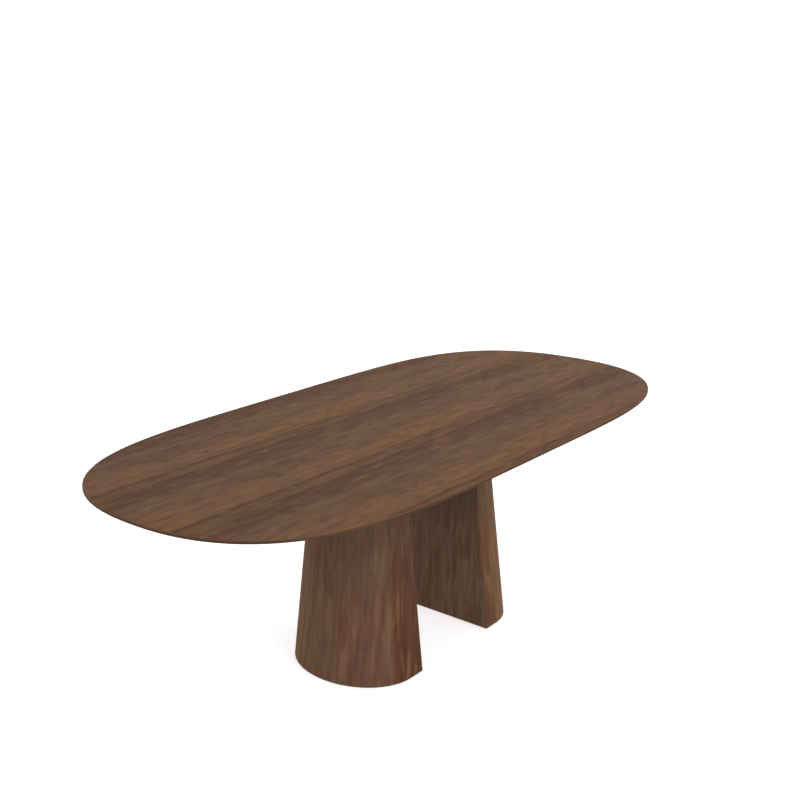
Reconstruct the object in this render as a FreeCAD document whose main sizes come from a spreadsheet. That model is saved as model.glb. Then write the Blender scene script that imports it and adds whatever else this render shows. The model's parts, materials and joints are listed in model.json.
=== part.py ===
# Oval dining table on two half-cone legs.
# The top is a veneered board with a wide solid lipping, bevelled underneath. Each leg is a hollow
# half cone, a bent shell mitred to a flat face panel over three formers. A steel plate let into the
# underside of the top joins each leg to it, and four screw feet level each leg on the floor.
# Origin: on the floor below the middle of the top. X runs along the top, Y across it, Z upwards.
import FreeCAD, Part
import math
import os
import re
import Sketcher

Vector = FreeCAD.Vector

# Driving dimensions, in millimetres. Powers are plain numbers and angles are in degrees.
SIZES = {
    # Top
    "table_height": 750,
    "top_length": 2200,
    "top_width": 1045,
    "top_thickness": 30,
    "oval_end_power": 4.5,
    "oval_side_power": 2.3,
    "edge_height": 11,
    "bevel_width": 70,
    "veneer_thickness": 1,
    "lipping_land": 6,
    "lipping_glue": 0.3,
    "lipping_joint": 700,
    "tongue_thickness": 6,
    "tongue_width": 24,
    "tongue_joint": 350,
    "tongue_play": 0.5,
    # Legs
    "leg_gap": 360,
    "leg_width": 444,
    "leg_depth": 240,
    "leg_side": 60,
    "leg_draft": 6,
    "leg_wall": 15,
    "rim_gap": 2,
    "former_gap": 0.5,
    "base_former_thickness": 22,
    "middle_former_thickness": 18,
    "top_former_thickness": 30,
    "former_web": 28,
    "corner_block": 25,
    # Plates between the legs and the top
    "plate_thickness": 5,
    "plate_inset": 1,
    "plate_flange": 54,
    "plate_corner": 12,
    "plate_play": 0.5,
    "fit_play": 0.3,
    "screw_radius": 2.9,
    "screw_length": 30,
    "screw_head_radius": 5.7,
    "screw_head_height": 2.8,
    "screw_tip": 6,
    "screw_point": 0.5,
    "screw_row_inset": 47,
    "screw_side_inset": 74,
    "bolt_radius": 3.9,
    "bolt_short": 2.5,
    "bolt_head_radius": 7,
    "bolt_head_height": 4.4,
    "bolt_head_round": 1.6,
    "bolt_socket": 5,
    "bolt_socket_depth": 2.4,
    "bolt_edge": 24,
    "insert_wall": 1.6,
    "insert_length": 15,
    "insert_well": 1.5,
    # Screw feet
    "foot_margin": 50,
    "foot_angle": 40,
    "foot_play": 0.5,
    "pad_radius": 17,
    "pad_height": 6,
    "pad_rim": 3,
    "pad_slope": 3,
    "spigot_radius": 5,
    "spigot_depth": 3,
    "collar_flats": 13,
    "collar_height": 4.5,
    "stem_radius": 3.7,
    "stem_length": 34,
    "stem_tip": 1.5,
    "sleeve_wall": 2,
    "sleeve_flange": 2,
    "sleeve_flange_width": 7,
}

# Sizes worked out from the driving dimensions, as expressions in their names.
UNDERSIDE = "(table_height - top_thickness)"
CORE_TOP = "(table_height - veneer_thickness)"
CORE_BOTTOM = f"({UNDERSIDE} + veneer_thickness)"
EDGE_FOOT = "(table_height - edge_height)"
LIPPING_WIDTH = "(bevel_width + lipping_land)"
CORE_INSET = f"({LIPPING_WIDTH} + lipping_glue)"
LEAF_EDGE = "(top_width / 6)"
TONGUE_BOTTOM = f"(({CORE_TOP} + {CORE_BOTTOM} - tongue_thickness) / 2)"
LEG_FACE = "(leg_gap / 2)"
TOP_SHRINK = f"({UNDERSIDE} * tan(leg_draft))"
LEG_TOP_WIDTH = f"(leg_width - 2 * {TOP_SHRINK})"
LEG_TOP_DEPTH = f"(leg_depth - {TOP_SHRINK})"
PLATE_LENGTH = f"({LEG_TOP_WIDTH} + 2 * plate_flange)"
PLATE_WIDTH = f"({LEG_TOP_DEPTH} - 2 * (leg_wall + plate_inset))"
PLATE_CENTRE = f"({LEG_FACE} + {LEG_TOP_DEPTH} / 2)"
PLATE_TOP = f"({UNDERSIDE} + plate_thickness)"
RECESS_TOP = f"({PLATE_TOP} + plate_play)"
SCREW_X = f"({LEG_TOP_DEPTH} / 2 - screw_row_inset)"
SCREW_Y = f"({LEG_TOP_WIDTH} / 2 - screw_side_inset)"
BOLT_X = f"({PLATE_WIDTH} / 2 - bolt_edge)"
BOLT_Y = f"({LEG_TOP_WIDTH} / 2 + plate_flange / 2)"
BOLT_REACH = "(plate_thickness + plate_play + insert_length - bolt_short)"
BOLT_BORE = "(bolt_radius + fit_play)"
INSERT_RADIUS = f"({BOLT_BORE} + insert_wall)"
SLEEVE_BORE = "(stem_radius + fit_play)"
SLEEVE_RADIUS = f"({SLEEVE_BORE} + sleeve_wall)"
COLLAR_TOP = "(pad_height + collar_height)"
BASE_FORMER = f"({COLLAR_TOP} + rim_gap + foot_play + sleeve_flange)"
TOP_FORMER = f"({UNDERSIDE} - top_former_thickness)"
BASE_FORMER_TOP = f"({BASE_FORMER} + base_former_thickness)"
MIDDLE_FORMER = f"(({BASE_FORMER_TOP} + {TOP_FORMER} - middle_former_thickness) / 2)"
MIDDLE_FORMER_TOP = f"({MIDDLE_FORMER} + middle_former_thickness)"

# Points per quarter of the oval outline, and how far a cutting tool runs past what it cuts.
OUTLINE_STEPS = 16
OVERRUN = 5

# Just past the ends and the sides of the top.
X_END = f"(top_length / 2 + {OVERRUN})"
Y_END = f"(top_width / 2 + {OVERRUN})"

# The sides of the table, with the sign of X and the turn about Z that places a leg there.
SIDES = {"left": (-1, 180), "right": (1, 0)}

# The front and the back of the table, with the sign of Y.
DEPTHS = {"front": -1, "back": 1}

doc = FreeCAD.newDocument("dining_table")
sheet = doc.addObject("Spreadsheet::Sheet", "sizes")
for row, (alias, number) in enumerate(SIZES.items(), start=1):
    sheet.set(f"A{row}", alias)
    sheet.set(f"B{row}", str(number))
    sheet.setAlias(f"B{row}", alias)
doc.recompute()

subparts = []


def cells(text):
    """Write the sheet's name before each of its aliases in an expression."""
    return re.sub(r"[a-z_]+", lambda word: f"sizes.{word[0]}" if word[0] in SIZES else word[0], text)


def value(text):
    """The number that an expression of the sheet's aliases gives."""
    return float(sheet.evalExpression(cells(text)))


def bind(feature, **expressions):
    """Tie properties of a feature to expressions of the sheet's aliases."""
    for name, text in expressions.items():
        feature.setExpression(name, cells(text))
    return feature


def place(feature, **expressions):
    """Tie the x, y or z of a feature's place to expressions of the sheet's aliases."""
    for axis, text in expressions.items():
        feature.setExpression(f"Placement.Base.{axis}", cells(text))
    return feature


def subpart(feature, turn=0):
    """Keep a feature as a piece of the table, turned about Z."""
    feature.Placement = FreeCAD.Placement(Vector(), FreeCAD.Rotation(Vector(0, 0, 1), turn))
    subparts.append(feature)
    return feature


# Plain features

def outline_of(name, edges):
    feature = doc.addObject("Part::Feature", name)
    feature.Shape = Part.Wire(edges)
    return feature


def polygon(name, points):
    return outline_of(name, Part.makePolygon(points + points[:1]).Edges)


def slab(name, outline, thickness):
    feature = doc.addObject("Part::Extrusion", name)
    feature.Base = outline
    feature.DirMode = "Custom"
    feature.Dir = Vector(0, 0, 1)
    feature.Solid = True
    return bind(feature, LengthFwd=thickness)


def loft(name, lower, upper):
    feature = doc.addObject("Part::Loft", name)
    feature.Sections = [lower, upper]
    feature.Solid = True
    feature.Ruled = True
    return feature


def box(name, length, width, height, **position):
    feature = doc.addObject("Part::Box", name)
    bind(feature, Length=length, Width=width, Height=height)
    return place(feature, **position)


def cylinder(name, radius, height, **position):
    feature = doc.addObject("Part::Cylinder", name)
    bind(feature, Radius=radius, Height=height)
    return place(feature, **position)


def cone(name, lower_radius, upper_radius, height, **position):
    feature = doc.addObject("Part::Cone", name)
    bind(feature, Radius1=lower_radius, Radius2=upper_radius, Height=height)
    return place(feature, **position)


def hexagon(name, flats, height, **position):
    feature = doc.addObject("Part::Prism", name)
    feature.Polygon = 6
    bind(feature, Circumradius=f"{flats} / 2 / cos(30)", Height=height)
    return place(feature, **position)


def cut(name, base, tool):
    feature = doc.addObject("Part::Cut", name)
    feature.Base = base
    feature.Tool = tool
    return feature


def common(name, base, tool):
    feature = doc.addObject("Part::Common", name)
    feature.Base = base
    feature.Tool = tool
    return feature


def fuse(name, shapes):
    feature = doc.addObject("Part::MultiFuse", name)
    feature.Shapes = shapes
    return feature


def group(name, shapes):
    feature = doc.addObject("Part::Compound", name)
    feature.Links = shapes
    return feature


def sketch_of(body, name):
    """An empty sketch on a body's own XY plane."""
    sketch = body.newObject("Sketcher::SketchObject", name)
    plane = next(item for item in body.Origin.OriginFeatures if item.Role == "XY_Plane")
    sketch.AttachmentSupport = [(plane, "")]
    sketch.MapMode = "FlatFace"
    return sketch


def add_rectangle(sketch, length, width):
    """A rectangle about the sketch's origin, as long along Y and as wide along X as told."""
    half_x = value(width) / 2
    half_y = value(length) / 2
    signs = [(-1, -1), (1, -1), (1, 1), (-1, 1)]
    corners = [Vector(sign_x * half_x, sign_y * half_y) for sign_x, sign_y in signs]
    for start, end in zip(corners, corners[1:] + corners[:1]):
        sketch.addGeometry(Part.LineSegment(start, end))
    for line in range(4):
        sketch.addConstraint(Sketcher.Constraint("Coincident", line, 2, (line + 1) % 4, 1))
        sketch.addConstraint(Sketcher.Constraint("Vertical" if line % 2 else "Horizontal", line))
    sketch.addConstraint(Sketcher.Constraint("Symmetric", 0, 1, 2, 1, -1, 1))
    along_x = sketch.addConstraint(Sketcher.Constraint("DistanceX", 0, 1, 0, 2, 2 * half_x))
    along_y = sketch.addConstraint(Sketcher.Constraint("DistanceY", 1, 1, 1, 2, 2 * half_y))
    bind(sketch, **{f"Constraints[{along_x}]": width, f"Constraints[{along_y}]": length})


def add_circles(sketch, radius, reach_x, reach_y, columns):
    """Two rows of circles, at plus and minus reach_x, with a column at each sign times reach_y."""
    for row in (-1, 1):
        for column in columns:
            centre = Vector(row * value(reach_x), column * value(reach_y))
            circle = sketch.addGeometry(Part.Circle(centre, Vector(0, 0, 1), value(radius)))
            size = sketch.addConstraint(Sketcher.Constraint("Radius", circle, value(radius)))
            bind(sketch, **{f"Constraints[{size}]": radius})
            tie_centre(sketch, "DistanceX", circle, reach_x, row)
            tie_centre(sketch, "DistanceY", circle, reach_y, column)


def tie_centre(sketch, direction, circle, reach, sign):
    """Hold a circle's centre at a distance from the sketch's origin, or on its X axis where sign is 0."""
    if sign == 0:
        sketch.addConstraint(Sketcher.Constraint("PointOnObject", circle, 3, -1))
        return
    origin = (-1, 1)
    centre = (circle, 3)
    start, end = (origin, centre) if sign > 0 else (centre, origin)
    tie = sketch.addConstraint(Sketcher.Constraint(direction, *start, *end, value(reach)))
    bind(sketch, **{f"Constraints[{tie}]": reach})


def rounded_plate(name, length, width, thickness, corner):
    """A body: a flat plate with round corners, hanging below its own XY plane."""
    body = doc.addObject("PartDesign::Body", name)
    outline = sketch_of(body, f"{name}_outline")
    add_rectangle(outline, length, width)
    pad = body.newObject("PartDesign::Pad", f"{name}_slab")
    pad.Profile = outline
    pad.Reversed = True
    bind(pad, Length=thickness)
    doc.recompute()
    upright = []
    for index, edge in enumerate(pad.Shape.Edges, start=1):
        if abs(edge.tangentAt(edge.FirstParameter).z) > 0.5:
            upright.append(f"Edge{index}")
    corners = body.newObject("PartDesign::Fillet", f"{name}_corners")
    corners.Base = (pad, upright)
    bind(corners, Radius=corner)
    doc.recompute()
    return body


# Outlines of the top and of a leg

def oval(name, inset, height):
    """The outline of the top, moved inwards, as one closed curve: |x/a|^end + |y/b|^side = 1."""
    half_length = value(f"top_length / 2 - {inset}")
    half_width = value(f"top_width / 2 - {inset}")
    end_power = value("oval_end_power")
    side_power = value("oval_side_power")
    level = value(height)
    points = []
    for step in range(4 * OUTLINE_STEPS):
        turn = math.pi / 2 * step / OUTLINE_STEPS
        along = math.cos(turn)
        across = (1 - abs(along) ** end_power) ** (1 / side_power)
        back_or_front = math.copysign(1, math.sin(turn))
        points.append(Vector(half_length * along, half_width * across * back_or_front, level))
    curve = Part.BSplineCurve()
    curve.interpolate(Points=points, PeriodicFlag=True)
    return outline_of(name, [curve.toShape()])


def quarter_ellipse(start, corner, end):
    curve = Part.BezierCurve()
    curve.setPoles([start, corner, end])
    curve.setWeight(2, math.sqrt(0.5))
    return curve.toShape()


def leg_round(inset, face, level):
    """The side, half ellipse and side of a leg at a level, moved inwards, from +Y round to -Y."""
    shrink = level * math.tan(math.radians(value("leg_draft")))
    half_width = value("leg_width / 2") - shrink - inset
    round_start = value(f"{LEG_FACE} + leg_side")
    nose = value(f"{LEG_FACE} + leg_depth") - shrink - inset
    tip = Vector(nose, 0, level)
    start, back_turn, back_corner = (Vector(x, half_width, level) for x in (face, round_start, nose))
    end, front_turn, front_corner = (Vector(x, -half_width, level) for x in (face, round_start, nose))
    return [Part.makeLine(start, back_turn), quarter_ellipse(back_turn, back_corner, tip),
            quarter_ellipse(tip, front_corner, front_turn), Part.makeLine(front_turn, end)]


def ends_of(edges):
    """The first and the last point of a run of edges."""
    return edges[0].Vertexes[0].Point, edges[-1].Vertexes[-1].Point


def leg_inside(name, level):
    """The outline of a former: on the inside of the face panel, and a thin gap from the shell."""
    face = value(f"{LEG_FACE} + leg_wall")
    edges = leg_round(value("leg_wall + former_gap"), face, level)
    start, end = ends_of(edges)
    return outline_of(name, edges + [Part.makeLine(end, start)])


def shell_section(name, level):
    """The U of a leg's shell, with mitred ends at the flat face."""
    face = value(LEG_FACE)
    wall = value("leg_wall")
    outside = leg_round(0, face, level)
    inside = leg_round(wall, face + wall, level)
    outer_start, outer_end = ends_of(outside)
    inner_start, inner_end = ends_of(inside)
    returning = [edge.reversed() for edge in reversed(inside)]
    mitres = [Part.makeLine(outer_end, inner_end), Part.makeLine(inner_start, outer_start)]
    return outline_of(name, outside + mitres[:1] + returning + mitres[1:])


def panel_section(name, level):
    """The flat face panel, mitred to meet both ends of the shell."""
    face = value(LEG_FACE)
    wall = value("leg_wall")
    outer = leg_round(0, face, level)
    inner = leg_round(wall, face + wall, level)
    return polygon(name, [*ends_of(outer), *reversed(ends_of(inner))])


# Top

def region(name, along, across):
    """A box through the whole top, from one place to another along X and across it along Y."""
    length = f"{along[1]} - ({along[0]})"
    width = f"{across[1]} - ({across[0]})"
    return box(name, length, width, f"top_thickness + 2 * {OVERRUN}",
               x=along[0], y=across[0], z=f"{UNDERSIDE} - {OVERRUN}")


def span(sign, start, end):
    """The two ends of a stretch on the side that sign gives, lower end first."""
    return (start, end) if sign > 0 else (f"-{end}", f"-{start}")


def tongue_ring(name, reach):
    """A flat ring that reaches as far into the core as into the lipping."""
    outer_line = oval(f"{name}_outer_line", f"({LIPPING_WIDTH} - ({reach}))", TONGUE_BOTTOM)
    inner_line = oval(f"{name}_inner_line", f"({LIPPING_WIDTH} + ({reach}))", TONGUE_BOTTOM)
    outer = slab(f"{name}_outer", outer_line, "tongue_thickness")
    inner = slab(f"{name}_inner", inner_line, "tongue_thickness")
    return cut(f"{name}_ring", outer, inner)


def make_top(recesses, wells):
    """The board, its veneers, the lipping round it and the tongues between them."""
    veneer = slab("veneer_sheet", oval("veneer_outline", "0", CORE_TOP), "veneer_thickness")
    leaves = {"front": span(-1, LEAF_EDGE, Y_END), "back": span(1, LEAF_EDGE, Y_END),
              "middle": (f"-{LEAF_EDGE}", LEAF_EDGE)}
    for name, across in leaves.items():
        leaf = region(f"leaf_{name}", (f"-{X_END}", X_END), across)
        subpart(common(f"face_veneer_{name}", veneer, leaf))

    core_outline = oval("core_outline", CORE_INSET, CORE_BOTTOM)
    board = slab("core_board", core_outline, f"{CORE_TOP} - {CORE_BOTTOM}")
    groove = tongue_ring("groove", "tongue_width / 2")
    subpart(cut("top_core", cut("core_grooved", board, groove), fuse("core_pockets", recesses + wells)))

    balance_outline = oval("balance_outline", CORE_INSET, UNDERSIDE)
    balance = slab("balance_sheet", balance_outline, "veneer_thickness")
    subpart(cut("underside_veneer", balance, fuse("plate_openings", recesses)))

    bevel_foot = oval("bevel_foot", "bevel_width", UNDERSIDE)
    edge_foot = oval("edge_foot", "0", EDGE_FOOT)
    bevel = loft("bevelled_rim", bevel_foot, edge_foot)
    edge = slab("straight_rim", edge_foot, f"{CORE_TOP} - {EDGE_FOOT}")
    inner_line = oval("lipping_inner_line", LIPPING_WIDTH, f"{UNDERSIDE} - {OVERRUN}")
    inside = slab("lipping_inside", inner_line, f"top_thickness + 2 * {OVERRUN}")
    rim = cut("rim_ring", fuse("rim_blank", [bevel, edge]), inside)
    lipping = cut("lipping_ring", rim, groove)
    for stretch, start, end in (("side", "0", "lipping_joint"), ("end", "lipping_joint", X_END)):
        for side, (sign, turn) in SIDES.items():
            for depth, depth_sign in DEPTHS.items():
                name = f"lipping_{stretch}_{depth}_{side}"
                length = region(f"{name}_length", span(sign, start, end), span(depth_sign, "0", Y_END))
                subpart(common(name, lipping, length))

    tongue = tongue_ring("tongue", "tongue_width / 2 - tongue_play")
    lengths = {"left": span(-1, "tongue_joint", X_END), "right": span(1, "tongue_joint", X_END),
               "middle": ("-tongue_joint", "tongue_joint")}
    pieces = []
    for name, along in lengths.items():
        length = region(f"tongue_{name}_length", along, (f"-{Y_END}", Y_END))
        pieces.append(common(f"tongue_{name}", tongue, length))
    subpart(group("lipping_tongues", pieces))


# Plates, screws and bolts between a leg and the top

def make_plate(side):
    """The steel plate, countersunk for the screws down into the leg and bored for the bolts up."""
    sign = SIDES[side][0]
    name = f"{side}_mount_plate"
    plate = rounded_plate(name, PLATE_LENGTH, PLATE_WIDTH, "plate_thickness", "plate_corner")
    screw_centres = sketch_of(plate, f"{side}_screw_centres")
    add_circles(screw_centres, "screw_radius + fit_play", SCREW_X, SCREW_Y, (-1, 0, 1))
    doc.recompute()
    screw_holes = plate.newObject("PartDesign::Hole", f"{side}_screw_holes")
    screw_holes.Profile = screw_centres
    screw_holes.DepthType = "ThroughAll"
    screw_holes.HoleCutType = "Countersink"
    screw_holes.HoleCutCustomValues = True
    bind(screw_holes, Diameter="2 * (screw_radius + fit_play)",
         HoleCutDiameter="2 * (screw_head_radius + fit_play)",
         HoleCutCountersinkAngle="2 * atan((screw_head_radius - screw_radius) / screw_head_height)")
    doc.recompute()
    bolt_centres = sketch_of(plate, f"{side}_bolt_centres")
    add_circles(bolt_centres, BOLT_BORE, BOLT_X, BOLT_Y, (-1, 1))
    bolt_holes = plate.newObject("PartDesign::Pocket", f"{side}_bolt_holes")
    bolt_holes.Profile = bolt_centres
    bolt_holes.Type = "ThroughAll"
    subparts.append(place(plate, x=f"{sign} * {PLATE_CENTRE}", z=PLATE_TOP))


def plate_places(reach_x, reach_y, columns):
    """Where the screws or bolts of the plate at +X stand, as (name, x, y)."""
    for row, row_sign in (("face", -1), ("nose", 1)):
        for column, column_sign in columns.items():
            x = f"{PLATE_CENTRE} + {row_sign} * {reach_x}"
            yield f"{row}_{column}", x, f"{column_sign} * {reach_y}"


def screw_places():
    return plate_places(SCREW_X, SCREW_Y, {**DEPTHS, "middle": 0})


def bolt_places():
    return plate_places(BOLT_X, BOLT_Y, DEPTHS)


def make_screws(side, turn):
    """Countersunk screws, heads flush with the plate's upper face."""
    screws = []
    for spot, x, y in screw_places():
        name = f"{side}_screw_{spot}"
        tip = f"{PLATE_TOP} - screw_length"
        head = f"{PLATE_TOP} - screw_head_height"
        screws.append(fuse(name, [
            cone(f"{name}_tip", "screw_point", "screw_radius", "screw_tip", x=x, y=y, z=tip),
            cylinder(f"{name}_shank", "screw_radius", "screw_length - screw_tip - screw_head_height",
                     x=x, y=y, z=f"{tip} + screw_tip"),
            cone(f"{name}_head", "screw_radius", "screw_head_radius", "screw_head_height",
                 x=x, y=y, z=head),
        ]))
    subpart(group(f"{side}_plate_screws", screws), turn)


def make_bolts(side, turn):
    """Button-head bolts from below, with a hexagon socket, and the inserts that they turn into."""
    bolts = []
    inserts = []
    for spot, x, y in bolt_places():
        name = f"{side}_bolt_{spot}"
        face = f"{UNDERSIDE} - bolt_head_height"
        solid = fuse(f"{name}_solid", [
            cone(f"{name}_round", "bolt_head_radius - bolt_head_round", "bolt_head_radius",
                 "bolt_head_round", x=x, y=y, z=face),
            cylinder(f"{name}_head", "bolt_head_radius", "bolt_head_height - bolt_head_round",
                     x=x, y=y, z=f"{face} + bolt_head_round"),
            cylinder(f"{name}_shank", "bolt_radius", BOLT_REACH, x=x, y=y, z=UNDERSIDE),
        ])
        socket = hexagon(f"{name}_socket", "bolt_socket", f"bolt_socket_depth + {OVERRUN}",
                         x=x, y=y, z=f"{face} - {OVERRUN}")
        bolts.append(cut(name, solid, socket))
        name = f"{side}_insert_{spot}"
        barrel = cylinder(f"{name}_barrel", INSERT_RADIUS, "insert_length", x=x, y=y, z=RECESS_TOP)
        bore = cylinder(f"{name}_bore", BOLT_BORE, f"insert_length + 2 * {OVERRUN}",
                        x=x, y=y, z=f"{RECESS_TOP} - {OVERRUN}")
        inserts.append(cut(name, barrel, bore))
    subpart(group(f"{side}_top_bolts", bolts), turn)
    subpart(group(f"{side}_top_inserts", inserts), turn)


def make_pockets():
    """The recesses in the underside for both plates, and the wells above them for the inserts."""
    recesses = []
    wells = []
    for side, (sign, turn) in SIDES.items():
        length = f"{PLATE_LENGTH} + 2 * plate_play"
        width = f"{PLATE_WIDTH} + 2 * plate_play"
        depth = f"{RECESS_TOP} - {UNDERSIDE} + {OVERRUN}"
        recess = rounded_plate(f"{side}_recess", length, width, depth, "plate_corner + plate_play")
        recesses.append(place(recess, x=f"{sign} * {PLATE_CENTRE}", z=RECESS_TOP))
        for spot, x, y in bolt_places():
            wells.append(cylinder(f"{side}_well_{spot}", f"{INSERT_RADIUS} + fit_play",
                                  f"insert_length + insert_well + {OVERRUN}",
                                  x=f"{sign} * ({x})", y=y, z=f"{RECESS_TOP} - {OVERRUN}"))
    return recesses, wells


# Legs

def make_shell(side, turn):
    """The bent shell and the flat face panel, from a little above the floor to the underside."""
    for piece, section in (("leg_shell", shell_section), ("leg_face_panel", panel_section)):
        name = f"{side}_{piece}"
        lower = section(f"{name}_lower", value("rim_gap"))
        upper = section(f"{name}_upper", value(UNDERSIDE))
        subpart(loft(name, lower, upper), turn)


def former(name, bottom, thickness):
    """A board across the inside of a leg, its edge following the taper."""
    lower = leg_inside(f"{name}_lower", value(bottom))
    upper = leg_inside(f"{name}_upper", value(f"{bottom} + {thickness}"))
    return loft(name, lower, upper)


def former_opening(name, bottom, thickness):
    """The round opening that leaves a web all round in a former."""
    inner_depth = f"(leg_depth - 2 * leg_wall - ({bottom} + {thickness}) * tan(leg_draft))"
    return cylinder(name, f"{inner_depth} / 2 - former_web", f"{thickness} + 2 * {OVERRUN}",
                    x=f"{LEG_FACE} + leg_wall + {inner_depth} / 2", z=f"{bottom} - {OVERRUN}")


def make_formers(side, turn):
    """Base former bored for the feet, middle former, and top former drilled for the plate's screws."""
    name = f"{side}_base_former"
    board = former(f"{name}_board", BASE_FORMER, "base_former_thickness")
    tools = [former_opening(f"{name}_opening", BASE_FORMER, "base_former_thickness")]
    for spot, x, y in foot_places():
        tools.append(cylinder(f"{name}_bore_{spot}", f"{SLEEVE_RADIUS} + fit_play",
                              f"base_former_thickness + 2 * {OVERRUN}",
                              x=x, y=y, z=f"{BASE_FORMER} - {OVERRUN}"))
    subpart(cut(name, board, fuse(f"{name}_tools", tools)), turn)

    name = f"{side}_middle_former"
    board = former(f"{name}_board", MIDDLE_FORMER, "middle_former_thickness")
    opening = former_opening(f"{name}_opening", MIDDLE_FORMER, "middle_former_thickness")
    subpart(cut(name, board, opening), turn)

    name = f"{side}_top_former"
    board = former(f"{name}_board", TOP_FORMER, "top_former_thickness")
    tools = []
    for spot, x, y in screw_places():
        tools.append(cylinder(f"{name}_pilot_{spot}", "screw_radius + fit_play",
                              f"screw_length + {OVERRUN}",
                              x=x, y=y, z=f"{PLATE_TOP} - screw_length - fit_play"))
    subpart(cut(name, board, fuse(f"{name}_tools", tools)), turn)


def make_corner_blocks(side, turn):
    """Square battens in the two mitred corners, below and above the middle former."""
    blocks = []
    for stage, bottom, top in (("lower", BASE_FORMER_TOP, MIDDLE_FORMER),
                               ("upper", MIDDLE_FORMER_TOP, TOP_FORMER)):
        for corner, sign in DEPTHS.items():
            name = f"{side}_block_{stage}_{corner}"
            lower = block_section(f"{name}_lower", sign, value(bottom))
            upper = block_section(f"{name}_upper", sign, value(top))
            blocks.append(loft(name, lower, upper))
    subpart(group(f"{side}_corner_blocks", blocks), turn)


def block_section(name, sign, level):
    """The square of a corner block, against the face panel and the straight side of the shell."""
    face = value(f"{LEG_FACE} + leg_wall")
    width = value("corner_block")
    inner_half = value("leg_width / 2 - leg_wall") - level * math.tan(math.radians(value("leg_draft")))
    outer_y = sign * inner_half
    inner_y = sign * (inner_half - width)
    return polygon(name, [Vector(face, outer_y, level), Vector(face + width, outer_y, level),
                          Vector(face + width, inner_y, level), Vector(face, inner_y, level)])


# Screw feet

def foot_places():
    """Where the feet of the leg at +X stand, as (name, x, y)."""
    inner_y = "(leg_width / 2 - foot_margin)"
    round_depth = "(leg_depth - leg_side - foot_margin)"
    outer_x = f"{LEG_FACE} + leg_side + {round_depth} * cos(foot_angle)"
    outer_y = f"{inner_y} * sin(foot_angle)"
    for row, x, y in (("inner", f"{LEG_FACE} + foot_margin", inner_y), ("outer", outer_x, outer_y)):
        for depth, sign in DEPTHS.items():
            yield f"{row}_{depth}", x, f"{sign} * {y}"


def make_sleeves(side, turn):
    """Flanged sleeves pressed up into the base former, threaded for the feet."""
    sleeves = []
    for spot, x, y in foot_places():
        name = f"{side}_sleeve_{spot}"
        flange = f"{BASE_FORMER} - sleeve_flange"
        solid = fuse(f"{name}_solid", [
            cylinder(f"{name}_flange", f"{SLEEVE_RADIUS} + sleeve_flange_width", "sleeve_flange",
                     x=x, y=y, z=flange),
            cylinder(f"{name}_barrel", SLEEVE_RADIUS, "base_former_thickness", x=x, y=y, z=BASE_FORMER),
        ])
        length = f"sleeve_flange + base_former_thickness + 2 * {OVERRUN}"
        bore = cylinder(f"{name}_bore", SLEEVE_BORE, length, x=x, y=y, z=f"{flange} - {OVERRUN}")
        sleeves.append(cut(name, solid, bore))
    subpart(group(f"{side}_foot_sleeves", sleeves), turn)


def make_feet(side, sign):
    """Each foot: a pad on the floor and a threaded stem that stands in it."""
    for spot, leg_x, y in foot_places():
        name = f"{side}_foot_{spot}"
        x = f"{sign} * ({leg_x})"
        seat = "pad_height - spigot_depth"
        solid = fuse(f"{name}_pad_solid", [
            cylinder(f"{name}_pad_rim", "pad_radius", "pad_rim", x=x, y=y),
            cone(f"{name}_pad_crown", "pad_radius", "pad_radius - pad_slope", "pad_height - pad_rim",
                 x=x, y=y, z="pad_rim"),
        ])
        socket = cylinder(f"{name}_pad_socket", "spigot_radius + fit_play", f"spigot_depth + {OVERRUN}",
                          x=x, y=y, z=seat)
        subpart(cut(f"{name}_pad", solid, socket))
        subpart(fuse(f"{name}_stem", [
            cylinder(f"{name}_spigot", "spigot_radius", "spigot_depth", x=x, y=y, z=seat),
            hexagon(f"{name}_collar", "collar_flats", "collar_height", x=x, y=y, z="pad_height"),
            cylinder(f"{name}_thread", "stem_radius", "stem_length - stem_tip", x=x, y=y, z=COLLAR_TOP),
            cone(f"{name}_tip", "stem_radius", "stem_radius - stem_tip", "stem_tip",
                 x=x, y=y, z=f"{COLLAR_TOP} + stem_length - stem_tip"),
        ]))


make_top(*make_pockets())
for side, (sign, turn) in SIDES.items():
    make_plate(side)
    make_screws(side, turn)
    make_bolts(side, turn)
    make_shell(side, turn)
    make_formers(side, turn)
    make_corner_blocks(side, turn)
    make_sleeves(side, turn)
    make_feet(side, sign)
doc.recompute()

# Check every feature and piece before anything is written.
for feature in doc.Objects:
    if "Invalid" in feature.State or "Error" in feature.State:
        raise RuntimeError(f"{feature.Name} failed: {feature.State}")
for piece in subparts:
    if piece.Shape.isNull() or not piece.Shape.isValid() or not piece.Shape.Solids:
        raise RuntimeError(f"{piece.Label} has no valid solid")

os.makedirs("parts", exist_ok=True)
for piece in subparts:
    piece.Shape.exportStep(f"parts/{piece.Label}.step")
    print(f"{piece.Label}: {len(piece.Shape.Solids)} solids, {piece.Shape.Volume / 1000:.1f} cm3")
print(len(subparts), "pieces")
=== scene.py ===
# Looks of an oval walnut dining table on two half-cone legs, in metres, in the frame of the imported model.
import json
import math

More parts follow.
